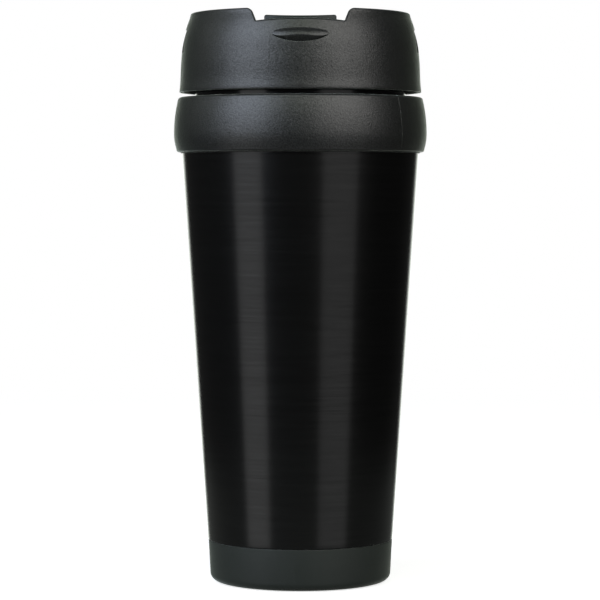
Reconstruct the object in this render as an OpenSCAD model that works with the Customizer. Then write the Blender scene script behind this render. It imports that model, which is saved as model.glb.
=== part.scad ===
// Insulated travel tumbler: steel outer wall, plastic liner, screw lid with a thumb slide.
// +Z is up, the origin is the centre of the foot, the drinking side faces -Y. Millimetres.

/* [Heights] */
// Height of the lid's rim above the table
overall_h = 200; // [190:1:215]
// Height of the lid's outer shell
lid_h = 27.6; // [27:0.1:29]
// Open gap between lid and collar, where the neck shows
neck_gap = 1.7; // [1.2:0.1:2.5]
// Height of the grip collar
collar_h = 18.6; // [18:0.1:20]
// Height of the visible band of the base cup
base_h = 14.9; // [13:0.1:18]

/* [Cup] */
// Outer radius of the steel wall at the collar
wall_top_r = 41.6; // [41:0.1:42]
// Outer radius of the steel wall at the base cup
wall_foot_r = 32.6; // [31.5:0.1:34]
// Thickness of the steel
steel_t = 0.5; // [0.4:0.1:0.7]
// Insulating air gap between wall and liner
air_gap = 3.5; // [3.3:0.1:4]
// Thickness of the liner
liner_t = 2; // [1.6:0.1:2.4]
// Outer radius of the liner's neck
neck_r = 37; // [36.8:0.1:37.1]
// Wall thickness of the neck
neck_t = 2.3; // [2:0.1:2.4]
// Largest outer radius of the grip collar
collar_r = 44.5; // [44.2:0.1:46]
// Outer radius of the foot pad
pad_r = 26; // [22:0.5:26]

/* [Lid] */
// Outer radius of the lid's lower edge
lid_foot_r = 42.6; // [42.4:0.1:43]
// Outer radius of the lid just under the rim
lid_rim_r = 38.75; // [38.5:0.05:39]
// Depth of the recess in the lid's top
recess_d = 9; // [8.5:0.1:10]
// Width of the thumb notch along its floor
notch_w = 30; // [28:0.5:33]
// Depth of the thumb notch at its two ends
notch_d = 4.4; // [3:0.1:5]
// Width of the eyelid lip under the notch
lip_w = 19.6; // [14:0.1:22]
// Width of the two snap windows in the lid's sides
window_w = 15; // [8:0.5:16]

/* [Thumb slide] */
// Width of the thumb slider
slider_w = 24.6; // [22:0.1:25]
// Travel from closed to open
slide_travel = 14; // [12:0.5:14]
// Width of the drink hole
drink_w = 15; // [12:0.5:15]
// Length of the drink hole, front to back
drink_l = 6; // [5:0.5:6]

/* [Screw thread] */
// Rise of the lid in one full turn
lead = 12; // [12:0.5:14]
// Number of thread starts
starts = 3; // [2:1:3]
// Gap between ridges in mesh, and between sliding parts and the walls that guide them
play = 0.3; // [0.2:0.05:0.4]

/* [Hidden] */
$fn = 96;
over = 1;            // how far a cutting solid reaches past what it cuts
touch = 0.05;        // gap between flat faces that slide on each other
close_fit = 0.1;     // gap between pressed or glued faces of fixed parts

// Heights of the main levels
lid_z = overall_h - lid_h;
collar_top_z = lid_z - neck_gap;
collar_z = collar_top_z - collar_h;

// Steel wall: a straight taper that runs on inside the collar
taper = (wall_top_r - wall_foot_r) / (collar_z - base_h);
function wall_r(z) = wall_foot_r + (z - base_h) * taper;
wall_in_collar = 11.5;
wall_end_z = collar_z + wall_in_collar;

// Liner
liner_base_z = base_h + 4.1;
liner_floor_t = 2.2;
liner_corner = 5;
neck_blend_h = 6;
mouth_z = overall_h - 13;
mouth_r = neck_r - neck_t;
mouth_round = 0.6;
function liner_out_r(z) = wall_r(z) - steel_t - air_gap;
seal_t = 1.6;
seal_w = 2.4;
flange_z = wall_end_z + seal_t;
flange_t = 2;
flange_r = wall_r(wall_end_z) + 0.25;

// Collar: two arcs that meet at its widest level
collar_wide_z = collar_z + 6.5;
collar_arc_up = 51;
collar_arc_down = 19;
collar_corner = 1.1;
bead_t = 0.5;        // thin bead that closes the collar's lower edge on the wall
bead_h = 0.6;

// Base cup
base_lift = 0.3;
base_corner = 3.6;
base_foot_r = wall_foot_r - 0.85;
base_floor_z = 4;
spigot_h = 7;
spigot_t = 1.8;
post_r = 14;
post_t = 2;
pad_t = 1.6;
pad_groove_d = 0.5;
pad_groove_w = 1;
cushion_t = 2;
ring_d = 1.2;
ring_z = base_h + 4;
groove_r = wall_r(ring_z) - steel_t - ring_d - 2 * touch;

// Lid
deck_z = overall_h - recess_d;
deck_t = 2.2;
deck_r = 39.2;
skirt_r = 39.7;
skirt_gap = 0.2;
skirt_z = lid_z + 1.2;
thread_root_r = neck_r + 1.5;
locator_r = mouth_r - 0.5;
locator_t = 1.2;
locator_h = 6.6;
recess_r = 36.4;
rim_round = 0.9;
window_z = lid_z + 13.7;
window_h = 8.3;

// Drink hole, vent and slider legs
drink_y = -26.5;
vent_y = -12.5;
vent_d = 3;
boss_wall = 1.6;
boss_z = deck_z - deck_t - 2.5;
leg_x = 8;
leg_w = 2.4;
leg_l = 5;
leg_y = -20;
rail_t = 1.4;
rail_h = 2.2;
rail_y = [-30, 12];

// Slider and gate
slider_front_r = recess_r - 0.7;
slider_back_y = -8.6;
slider_t = 2;
slider_z = deck_z + touch;
ridge_t = 2.6;
ridge_top_z = overall_h - 2.3;
ridge_dip_r = 199;
ridge_corner = 1.2;
bar_n = 5;
bar_y = -27;
bar_step = 3.2;
bar_w = 1.2;
bar_h = 0.7;
bar_inset = 3;
gate_w = 22;
gate_front_r = 32;
gate_back_y = -7.2;
gate_t = 2.4;
gate_seal_t = 1;
socket_wall = 1.2;
socket_h = 1.6;
gate_top_z = boss_z - touch - gate_seal_t;

// Thread ridges
ridge_h = 1.2;
ridge_root_w = 2;
ridge_tip_w = 1;
ridge_embed = 0.5;
neck_thread_z = mouth_z - 9.8;
neck_thread_turn = 180;
lid_thread_turn = 90;
thread_phase = 3;    // where the first ridge starts, in degrees from +X
ridge_step = 7.5;
runout = 15;

// n + 1 points of a circular arc about c, from angle a to angle b
function arc(c, r, a, b, n = 8) =
    [for (i = [0:n]) let (t = a + (b - a) * i / n) [c[0] + r * cos(t), c[1] + r * sin(t)]];

// n + 1 points of a curve from p to q that leaves and arrives towards the corner m
function bend(p, m, q, n = 8) =
    [for (i = [0:n]) let (t = i / n) (1 - t) * (1 - t) * p + 2 * t * (1 - t) * m + t * t * q];

module turned(points) rotate_extrude() polygon(points);

// A slot outline with round ends, w long in X and l wide in Y
module slot2d(w, l)
    union() {
        square([w - l, l], center = true);
        for (s = [-1, 1]) translate([s * (w - l) / 2, 0]) circle(d = l);
    }

// One helical ridge on a cylinder. side = 1 stands outwards, -1 stands inwards.
// It starts at angle 0 and height 0, rises with the lead and sinks into the wall at both ends.
module thread_ridge(root_r, side, turn) {
    n = round(turn / ridge_step);
    rings = [for (i = [0:n])
        let (a = i * turn / n, z = lead * a / 360,
             fade = min(1, a / runout, (turn - a) / runout),
             root = root_r - side * ridge_embed,
             tip = root_r + side * (ridge_h * fade - ridge_embed / 2 * (1 - fade)),
             tw = ridge_tip_w / 2, rw = ridge_root_w / 2)
        [[root, z - rw], [tip, z - tw], [tip, z + tw], [root, z + rw], a]];
    points = [for (g = rings) for (k = [0:3]) [g[k][0] * cos(g[4]), g[k][0] * sin(g[4]), g[k][1]]];
    walls = [for (i = [0:n - 1]) for (k = [0:3])
        let (k2 = (k + 1) % 4, a = 4 * i + k, b = 4 * i + k2, c = 4 * (i + 1) + k2, d = 4 * (i + 1) + k)
        for (t = side > 0 ? [[a, b, c], [a, c, d]] : [[a, c, b], [a, d, c]]) t];
    first = side > 0 ? [[0, 3, 2], [0, 2, 1]] : [[0, 1, 2], [0, 2, 3]];
    last = [for (f = first) [for (i = [2:-1:0]) 4 * n + f[i]]];
    polyhedron(points, concat(walls, first, last));
}

module threads(root_r, side, turn, z)
    for (s = [0:starts - 1])
        translate([0, 0, z]) rotate(thread_phase + s * 360 / starts) thread_ridge(root_r, side, turn);

module outer_shell()
    color([0.03, 0.03, 0.03])
        turned([[wall_r(base_h), base_h], [wall_r(wall_end_z), wall_end_z],
                [wall_r(wall_end_z) - steel_t, wall_end_z], [wall_r(base_h) - steel_t, base_h]]);

module inner_liner() {
    z0 = liner_base_z;
    c = liner_corner;
    blend_z = collar_z - 2;
    out = concat([[0, z0]],
        bend([liner_out_r(z0) - c, z0], [liner_out_r(z0), z0], [liner_out_r(z0 + c), z0 + c]),
        [[liner_out_r(blend_z), blend_z], [neck_r, blend_z + neck_blend_h], [neck_r, flange_z],
         [flange_r, flange_z], [flange_r, flange_z + flange_t], [neck_r, flange_z + flange_t]],
        arc([neck_r - mouth_round, mouth_z - mouth_round], mouth_round, 0, 90));
    zi = z0 + liner_floor_t;
    in = concat(arc([mouth_r + mouth_round, mouth_z - mouth_round], mouth_round, 90, 180),
        [[mouth_r, blend_z + neck_blend_h], [liner_out_r(blend_z) - liner_t, blend_z]],
        bend([liner_out_r(zi + c) - liner_t, zi + c], [liner_out_r(zi) - liner_t, zi],
             [liner_out_r(zi) - liner_t - c, zi]),
        [[0, zi]]);
    color([0.02, 0.02, 0.02]) union() {
        turned(concat(out, in));
        threads(neck_r, 1, neck_thread_turn, neck_thread_z);
    }
}

// Points of the collar's outer line, from its lower corner to its upper one
function collar_line() =
    let (lower = asin((collar_wide_z - collar_z - collar_corner) / collar_arc_down),
         upper = asin((collar_top_z - collar_corner - collar_wide_z) / collar_arc_up))
    concat(arc([collar_r - collar_arc_down, collar_wide_z], collar_arc_down, -lower, 0, 6),
           arc([collar_r - collar_arc_up, collar_wide_z], collar_arc_up, 0, upper, 8));

module grip_collar() {
    line = collar_line();
    low = line[0];
    high = line[len(line) - 1];
    bead_r = wall_r(collar_z) + close_fit;
    bore_r = flange_r + close_fit;
    roof_z = flange_z + flange_t;
    color([0.09, 0.09, 0.09])
        turned(concat(
            [[bead_r, collar_z - bead_h], [bead_r + bead_t, collar_z - bead_h], [bead_r + bead_t, collar_z]],
            arc([low[0] - collar_corner, low[1]], collar_corner, -90, 0, 5),
            line,
            arc([high[0] - collar_corner, high[1]], collar_corner, 0, 90, 5),
            [[neck_r + close_fit, collar_top_z], [neck_r + close_fit, roof_z],
             [bore_r, roof_z], [bore_r, wall_end_z], [wall_r(wall_end_z) + close_fit, wall_end_z]]));
}

module collar_seal()
    color([0.35, 0.35, 0.36])
        translate([0, 0, wall_end_z])
            turned([[flange_r - seal_w, 0], [flange_r, 0], [flange_r, seal_t], [flange_r - seal_w, seal_t]]);

module base_cup() {
    ledge_r = wall_foot_r - steel_t - close_fit;
    top_z = base_h + spigot_h;
    side = base_foot_r + 0.75;
    color([0.1, 0.11, 0.1])
        difference() {
            turned(concat(
                [[0, pad_t], [pad_r + close_fit, pad_t], [pad_r + close_fit, base_lift]],
                arc([base_foot_r - base_corner, base_lift + base_corner], base_corner, -90, 0),
                [[side, base_h], [ledge_r, base_h], [wall_r(top_z) - steel_t - close_fit, top_z],
                 [ledge_r - spigot_t, top_z], [ledge_r - spigot_t - 0.4, base_floor_z],
                 [post_r, base_floor_z], [post_r, liner_base_z - cushion_t],
                 [post_r - post_t, liner_base_z - cushion_t], [post_r - post_t, base_floor_z],
                 [0, base_floor_z]]));
            translate([0, 0, ring_z]) turned([[groove_r, -ring_d / 2], [wall_foot_r + over, -ring_d / 2],
                [wall_foot_r + over, ring_d / 2], [groove_r, ring_d / 2]]);
        }
}

module base_seal()
    color([0.2, 0.2, 0.2])
        translate([0, 0, ring_z])
            rotate_extrude() translate([groove_r + touch + ring_d / 2, 0]) circle(d = ring_d);

module foot_pad()
    color([0.05, 0.05, 0.05])
        difference() {
            cylinder(r = pad_r, h = pad_t);
            for (r = [pad_r - 3, pad_r - 6.5])
                translate([0, 0, -over]) difference() {
                    cylinder(r = r, h = over + pad_groove_d);
                    translate([0, 0, -over]) cylinder(r = r - pad_groove_w, h = 3 * over);
                }
        }

module liner_pad()
    color([0.55, 0.55, 0.55])
        translate([0, 0, liner_base_z - cushion_t]) cylinder(r = post_r + 1, h = cushion_t);

// Points of the lid's outer line, from its lower edge to the rim
function lid_line() =
    concat([[lid_foot_r, lid_z + 0.5]],
           bend([lid_foot_r - 0.95, lid_z + 14.8], [lid_foot_r - 1.25, lid_z + 19.4],
                [lid_rim_r + 0.85, overall_h - 3.6], 10),
           [[lid_rim_r, overall_h - rim_round - 0.4]]);

// Outline of the thumb notch in the XZ plane: crowned floor, slanted ends, round upper corners
module notch2d() {
    half = notch_w / 2;
    floor_z = overall_h - notch_d;
    crown = 0.75;
    crown_r = (half * half + crown * crown) / (2 * crown);
    sweep = asin(half / crown_r);
    corner = 2.6;
    slant = 0.8;
    polygon(concat(
        arc([0, floor_z + crown - crown_r], crown_r, 90 + sweep, 90 - sweep, 12),
        arc([half + slant + corner, overall_h - corner], corner, 180, 90, 8),
        [[half + slant + corner, overall_h + over], [-half - slant - corner, overall_h + over]],
        arc([-half - slant - corner, overall_h - corner], corner, 90, 0, 8)));
}

// Eyelid outline in the XZ plane: where two circles cross
module lip2d(w, h) {
    r = (w * w + h * h) / (4 * h);
    intersection() {
        translate([0, r - h / 2]) circle(r = r);
        translate([0, h / 2 - r]) circle(r = r);
    }
}

module lid_shell() {
    line = lid_line();
    step_r = deck_r + close_fit;
    lip_h = 4.4;
    lip_z = overall_h - 9.2;
    lip_out = 0.8;
    color([0.08, 0.08, 0.08]) difference() {
        union() {
            turned(concat(
                [[lid_foot_r - 1.6, lid_z], [lid_foot_r - 0.5, lid_z]],
                line,
                arc([lid_rim_r - rim_round, overall_h - rim_round], rim_round, 20, 90, 6),
                [[recess_r + 0.9, overall_h], [recess_r + 0.5, overall_h - 0.6],
                 [recess_r, deck_z], [step_r, deck_z], [skirt_r + skirt_gap, deck_z - 1]]));
            // eyelid lip: the same outer line, a little further out, inside an eyelid outline
            intersection() {
                turned(concat([for (p = line) p + [lip_out, 0]], [[recess_r + 3, overall_h - 2],
                    [recess_r + 3, lid_z + 1]]));
                translate([0, 0, lip_z]) rotate([90, 0, 0])
                    linear_extrude(height = lid_foot_r + over) lip2d(lip_w, lip_h);
                translate([0, 0, deck_z - 3]) cylinder(r = lid_foot_r + over, h = 6);
            }
        }
        rotate([90, 0, 0]) translate([0, 0, recess_r - 6])
            linear_extrude(height = 12) notch2d();
        for (s = [-1, 1])
            translate([s * (deck_r + 1), 0, window_z + window_h / 2])
                cube([6, window_w, window_h], center = true);
    }
}

// The wedge on the core's +X side that snaps into the shell's window
module snap_tab() {
    half = window_w / 2 - play;
    low = window_z + play;
    high = window_z + window_h - play;
    root = thread_root_r + 0.4;
    step = deck_z - deck_t / 2;
    translate([0, half, 0]) rotate([90, 0, 0]) linear_extrude(height = 2 * half)
        polygon([[root, low], [lid_foot_r - 1.0, low], [lid_foot_r - 1.15, low + 1.6],
                 [lid_rim_r + 0.6, high], [deck_r - 2, high], [deck_r - 2, step], [root, step]]);
}

module lid_core() {
    under_z = deck_z - deck_t;
    slot_l = leg_l + slide_travel + 2 * play;
    color([0.07, 0.07, 0.07]) difference() {
        union() {
            translate([0, 0, under_z]) cylinder(r = deck_r, h = deck_t);
            // skirt and locator ring below the deck
            turned([[thread_root_r, skirt_z], [skirt_r, skirt_z], [skirt_r, under_z + over],
                    [thread_root_r, under_z + over]]);
            turned([[locator_r - locator_t, under_z - locator_h], [locator_r, under_z - locator_h],
                    [locator_r, under_z + over], [locator_r - locator_t, under_z + over]]);
            threads(thread_root_r, -1, lid_thread_turn, neck_thread_z - lead / starts / 2);
            // sealing bosses round the drink hole and the vent
            translate([0, drink_y, boss_z]) linear_extrude(height = under_z + over - boss_z)
                slot2d(drink_w + 2 * boss_wall, drink_l + 2 * boss_wall);
            translate([0, vent_y, boss_z])
                cylinder(d = vent_d + 2 * boss_wall, h = under_z + over - boss_z);
            // rails beside the slider
            for (s = [-1, 1])
                translate([s * (slider_w / 2 + play + rail_t / 2), (rail_y[0] + rail_y[1]) / 2,
                           deck_z + rail_h / 2 - over / 2])
                    cube([rail_t, rail_y[1] - rail_y[0], rail_h + over], center = true);
            intersection() {
                for (s = [0, 1]) mirror([s, 0, 0]) snap_tab();
                difference() {
                    cylinder(r = lid_foot_r - 0.4, h = overall_h);
                    translate([0, 0, deck_z]) cylinder(r = recess_r + 1, h = recess_d);
                }
            }
        }
        translate([0, drink_y, boss_z - over])
            linear_extrude(height = deck_z - boss_z + 2 * over) slot2d(drink_w, drink_l);
        translate([0, vent_y, boss_z - over]) cylinder(d = vent_d, h = deck_z - boss_z + 2 * over);
        for (s = [-1, 1])
            translate([s * leg_x - leg_w / 2 - play, leg_y - play, under_z - over])
                cube([leg_w + 2 * play, slot_l, deck_t + 2 * over]);
    }
}

module lid_gasket()
    color([0.75, 0.75, 0.74])
        turned([[locator_r + play, mouth_z + touch], [neck_r + 0.9, mouth_z + touch],
                [neck_r + 0.9, deck_z - deck_t - touch], [locator_r + play, deck_z - deck_t - touch]]);

// Outline of the slider from above: straight sides and a front that follows the rim
module slider2d()
    intersection() {
        translate([-slider_w / 2, -slider_front_r]) square([slider_w, slider_front_r + slider_back_y]);
        circle(r = slider_front_r);
    }

module thumb_slider() {
    rise = ridge_top_z - slider_z;
    half = slider_w / 2;
    color([0.06, 0.06, 0.06]) union() {
        translate([0, 0, slider_z]) linear_extrude(height = slider_t) slider2d();
        // upright thumb ridge with a dished top edge
        intersection() {
            translate([0, 0, slider_z]) difference() {
                linear_extrude(height = rise + over) slider2d();
                translate([0, 0, -over]) cylinder(r = slider_front_r - ridge_t, h = rise + 3 * over);
            }
            rotate([90, 0, 0]) linear_extrude(height = slider_front_r + over) difference() {
                union() {
                    translate([-half, slider_z]) square([slider_w, rise - ridge_corner]);
                    translate([-half + ridge_corner, slider_z]) square([slider_w - 2 * ridge_corner, rise]);
                    for (s = [-1, 1])
                        translate([s * (half - ridge_corner), ridge_top_z - ridge_corner])
                            circle(r = ridge_corner);
                }
                translate([0, ridge_top_z + ridge_dip_r - 0.4]) circle(r = ridge_dip_r);
            }
        }
        // grip bars behind the ridge
        for (i = [0:bar_n - 1])
            translate([-half + bar_inset, bar_y + bar_step * i, slider_z + slider_t - over])
                cube([slider_w - 2 * bar_inset, bar_w, over + bar_h]);
        // legs that reach through the deck to the gate
        for (s = [-1, 1])
            translate([s * leg_x - leg_w / 2, leg_y, gate_top_z - gate_t])
                cube([leg_w, leg_l, slider_z + over - gate_top_z + gate_t]);
    }
}

module slider_gate() {
    low = gate_top_z - gate_t;
    color([0.1, 0.1, 0.1]) difference() {
        union() {
            translate([0, 0, low]) linear_extrude(height = gate_t) intersection() {
                translate([-gate_w / 2, -gate_front_r]) square([gate_w, gate_front_r + gate_back_y]);
                circle(r = gate_front_r);
            }
            for (s = [-1, 1])
                translate([s * leg_x - leg_w, leg_y - socket_wall, gate_top_z - over])
                    cube([2 * leg_w, leg_l + 2 * socket_wall, over + socket_h]);
        }
        for (s = [-1, 1])
            translate([s * leg_x - leg_w / 2, leg_y, low - over])
                cube([leg_w, leg_l, gate_t + 2 * over + socket_h]);
    }
}

module gate_seal()
    color([0.7, 0.7, 0.7])
        translate([0, drink_y, gate_top_z]) difference() {
            linear_extrude(height = gate_seal_t)
                slot2d(drink_w + 2 * boss_wall + 0.6, drink_l + 2 * boss_wall + 0.6);
            translate([0, 0, gate_seal_t - 0.4]) linear_extrude(height = over)
                slot2d(drink_w - 1, drink_l - 1);
        }

module vent_seal()
    color([0.7, 0.7, 0.7])
        translate([0, vent_y, gate_top_z]) cylinder(d = vent_d + 2 * boss_wall, h = gate_seal_t);

outer_shell();
inner_liner();
grip_collar();
collar_seal();
base_cup();
base_seal();
foot_pad();
liner_pad();
lid_shell();
lid_core();
lid_gasket();
thumb_slider();
slider_gate();
gate_seal();
vent_seal();
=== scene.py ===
"""Insulated travel tumbler: the looks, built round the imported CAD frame.

Metres, +Z up, the origin at the centre of the foot. The drinking side, with the thumb notch, faces -Y.
"""
import math
from collections import namedtuple

import bmesh
import bpy
import numpy as np
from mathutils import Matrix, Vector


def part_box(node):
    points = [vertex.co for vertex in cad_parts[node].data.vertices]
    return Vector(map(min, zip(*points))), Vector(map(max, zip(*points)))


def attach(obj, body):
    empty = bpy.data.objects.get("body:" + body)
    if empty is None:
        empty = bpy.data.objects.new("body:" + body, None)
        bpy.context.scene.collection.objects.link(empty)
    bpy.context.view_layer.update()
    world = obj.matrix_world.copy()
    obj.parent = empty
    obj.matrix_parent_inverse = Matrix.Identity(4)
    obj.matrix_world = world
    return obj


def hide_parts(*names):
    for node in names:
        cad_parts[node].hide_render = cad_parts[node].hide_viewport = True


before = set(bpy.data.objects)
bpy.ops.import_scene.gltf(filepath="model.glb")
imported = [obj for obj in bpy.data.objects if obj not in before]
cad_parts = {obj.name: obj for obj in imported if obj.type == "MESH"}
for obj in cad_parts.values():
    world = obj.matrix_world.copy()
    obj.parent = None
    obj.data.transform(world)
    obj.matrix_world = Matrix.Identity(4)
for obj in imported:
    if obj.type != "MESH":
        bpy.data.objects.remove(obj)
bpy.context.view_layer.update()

MM = 0.001

# Light: each softbox as name, azimuth and spread in degrees, lower and upper edge, and radiance.
SOFTBOXES = (
    ("left_high", -51, 44, 0.32, 1.5, (3.3, 3.65, 4.2)),
    ("left_low", -52.5, 30, -0.5, 0.32, (0.78, 0.78, 0.78)),
    ("right_high", 42, 50, 0.32, 1.5, (2.55, 2.52, 2.45)),
    ("right_low", 39.5, 36, -0.5, 0.32, (0.45, 0.45, 0.45)),
    ("front_high", -5, 50, 0.85, 1.6, (1.7, 1.9, 1.55)),
    ("left_side", -96, 36, 0.32, 1.2, (0.4, 0.44, 0.4)),
)
ROOM = (0.034, 0.034, 0.033, 1)
BACK_WALL = (1.9, 2.0, 1.85, 1)
FLOOR_GLOW = 0.75
FLOOR_BOUNCE = (0.093, 0.1, 0.093)

# Near-black plastic, from its darkest to its palest tone, and where its texture or edges wear pale.
BLACK = (0.010, 0.0105, 0.0105)
BLACK_PALE = (0.014, 0.0145, 0.0145)
BLACK_WORN = (0.03, 0.031, 0.031)


# ---------------------------------------------------------------- places from the frame

def low(node):
    """The lowest corner of a CAD node's box."""
    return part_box(node)[0]


def high(node):
    """The highest corner of a CAD node's box."""
    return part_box(node)[1]


def radius_near(node, z, reach=0.25 * MM):
    """Largest radius of a CAD node's points within reach of a height."""
    points = np.array([v.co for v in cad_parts[node].data.vertices])
    near = points[abs(points[:, 2] - z) < reach]
    return float(np.hypot(near[:, 0], near[:, 1]).max())


rim_z = high("lid_shell").z
lid_z = low("lid_shell").z
collar_z = low("grip_collar").z
collar_top_z = high("grip_collar").z
collar_r = high("grip_collar").x
seam_z = low("outer_shell").z
wall_end_z = high("outer_shell").z
wall_seam_r = radius_near("outer_shell", seam_z)
wall_end_r = radius_near("outer_shell", wall_end_z)
mouth_z = high("inner_liner").z
foot_z = low("foot_pad").z
base_low_z = low("base_cup").z
deck_z = rim_z - 9 * MM
pad_top_z = high("foot_pad").z
pad_r = high("foot_pad").x
flange_r = high("inner_liner").x
neck_r = 37 * MM
fit = 0.1 * MM

# The collar's mould line stands 51 degrees to the right of the front, which is at -90.
PARTING = math.radians(51 - 90)


def wall_r(z):
    """Outer radius of the steel wall at a height."""
    return wall_seam_r + (z - seam_z) * (wall_end_r - wall_seam_r) / (wall_end_z - seam_z)


# ---------------------------------------------------------------- outlines

def rounded(points, steps=5):
    """An outline of (r, z, fillet) points with each corner rounded by its fillet's arc.

    The first and last points stay sharp, and a fillet that its sides leave no room for is made smaller.
    """
    out = []
    for i, (x, y, f) in enumerate(points):
        p = np.array([x, y], float)
        if f == 0 or i in (0, len(points) - 1):
            out.append(p)
            continue
        a = np.array(points[i - 1][:2], float) - p
        b = np.array(points[i + 1][:2], float) - p
        la, lb = np.linalg.norm(a), np.linalg.norm(b)
        a, b = a / la, b / lb
        half = math.acos(max(-1, min(1, float(a @ b)))) / 2
        f = min(f, 0.49 * la * math.tan(half), 0.49 * lb * math.tan(half))
        centre = p + (a + b) / np.linalg.norm(a + b) * f / math.sin(half)
        start, end = p + a * f / math.tan(half) - centre, p + b * f / math.tan(half) - centre
        sweep = math.pi - 2 * half
        for t in np.linspace(0, sweep, steps + 1):
            out.append(centre + (start * math.sin(sweep - t) + end * math.sin(t)) / math.sin(sweep))
    return [tuple(q) for q in out]


def arc(cx, cy, r, start, end, steps):
    """Points of an arc, with its angles in degrees."""
    angles = np.radians(np.linspace(start, end, steps + 1))
    return [(cx + r * math.cos(a), cy + r * math.sin(a)) for a in angles]


def through(points, per_span=6):
    """A smooth curve through the points (Catmull-Rom)."""
    p = np.array(points, float)
    p = np.vstack([2 * p[0] - p[1], p, 2 * p[-1] - p[-2]])
    out = []
    for i in range(1, len(p) - 2):
        for t in np.arange(per_span) / per_span:
            out.append(0.5 * (2 * p[i] + (p[i + 1] - p[i - 1]) * t
                              + (2 * p[i - 1] - 5 * p[i] + 4 * p[i + 1] - p[i + 2]) * t ** 2
                              + (3 * p[i] - p[i - 1] - 3 * p[i + 1] + p[i + 2]) * t ** 3))
    out.append(p[-2])
    return [tuple(q) for q in out]


def smoothstep(x):
    """0 below 0 and 1 above 1, with a smooth rise between."""
    x = np.clip(x, 0, 1)
    return x * x * (3 - 2 * x)


# ---------------------------------------------------------------- meshes

def mesh_object(name, verts, faces, sharp=35):
    """A smooth-shaded object with outward normals and sharp edges above an angle in degrees."""
    mesh = bpy.data.meshes.new(name)
    mesh.from_pydata([tuple(v) for v in verts], [], faces)
    bm = bmesh.new()
    bm.from_mesh(mesh)
    bmesh.ops.remove_doubles(bm, verts=bm.verts, dist=1e-7)
    bmesh.ops.recalc_face_normals(bm, faces=bm.faces)
    bm.to_mesh(mesh)
    bm.free()
    obj = bpy.data.objects.new(name, mesh)
    bpy.context.scene.collection.objects.link(obj)
    return shade(obj, sharp)


def shade(obj, sharp=35):
    """Smooth shading, with sharp edges above an angle in degrees."""
    obj.data.polygons.foreach_set("use_smooth", [True] * len(obj.data.polygons))
    obj.data.set_sharp_from_angle(angle=math.radians(sharp))
    return obj


def grid_faces(rows, columns, closed_rows):
    """Quads of a grid that wraps round in its columns, and in its rows too if closed."""
    faces = []
    for i in range(rows if closed_rows else rows - 1):
        here, above = i * columns, (i + 1) % rows * columns
        for j in range(columns):
            k = (j + 1) % columns
            faces.append((here + j, here + k, above + k, above + j))
    return faces


def around(columns):
    """Even angles all the way round."""
    return np.linspace(0, 2 * math.pi, columns, endpoint=False)


def lathe(name, profile, angles, closed=True, radius_shift=None):
    """A profile of (r, z) points turned about the Z axis, with a column at each angle.

    A profile that isn't closed has its ends on the axis. radius_shift(angles, z) moves points outwards.
    """
    verts = []
    for r, z in profile:
        radii = np.full(len(angles), r)
        if radius_shift is not None:
            radii = radii + radius_shift(angles, z)
        verts += list(zip(radii * np.cos(angles), radii * np.sin(angles), np.full(len(angles), z)))
    return mesh_object(name, verts, grid_faces(len(profile), len(angles), closed))


def swept(name, sections):
    """A closed piece through a row of sections, which all have the same number of points."""
    n = len(sections[0])
    last = (len(sections) - 1) * n
    faces = grid_faces(len(sections), n, False) + [tuple(range(n)), tuple(range(last, last + n))]
    return mesh_object(name, [point for points in sections for point in points], faces)


def prism(name, outline, z0, z1):
    """An outline of (x, y) points drawn up from z0 to z1."""
    return swept(name, [[(x, y, z) for x, y in outline] for z in (z0, z1)])


def rounded_box(x, y, r):
    """Outline of a rectangle between two corners, (x0, x1) and (y0, y1), with round corners."""
    out = []
    for cx, cy, a in ((x[1] - r, y[0] + r, -90), (x[1] - r, y[1] - r, 0),
                      (x[0] + r, y[1] - r, 90), (x[0] + r, y[0] + r, 180)):
        out += arc(cx, cy, r, a, a + 90, 5)
    return out


def slot_outline(y, width, length):
    """Outline of a slot with round ends on the middle line, width along X and length along Y."""
    r, reach = length / 2, (width - length) / 2
    return arc(reach, y, r, -90, 90, 14) + arc(-reach, y, r, 90, 270, 14)


def combine(obj, other, operation):
    """Joins or cuts obj with other, which is used up."""
    mod = obj.modifiers.new("combine", "BOOLEAN")
    mod.operation = operation
    mod.object = other
    mod.solver = "EXACT"
    graph = bpy.context.evaluated_depsgraph_get()
    mesh = bpy.data.meshes.new_from_object(obj.evaluated_get(graph))
    obj.modifiers.clear()
    obj.data = mesh
    bpy.data.objects.remove(other)
    return obj


def soften(obj, width, segments):
    """Rounds an object's sharper edges a little, as moulded parts are."""
    mod = obj.modifiers.new("soften", "BEVEL")
    mod.width = width
    mod.segments = segments
    mod.limit_method = "ANGLE"
    mod.angle_limit = math.radians(40)
    mod.harden_normals = True
    return obj


def place(obj, body, slot, material, *nodes):
    """The piece rides on its body, stands for its CAD nodes and gets its material."""
    obj.data.materials.clear()
    obj.data.materials.append(material)
    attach(obj, body)
    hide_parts(*nodes)
    return obj


# ---------------------------------------------------------------- materials

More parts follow.
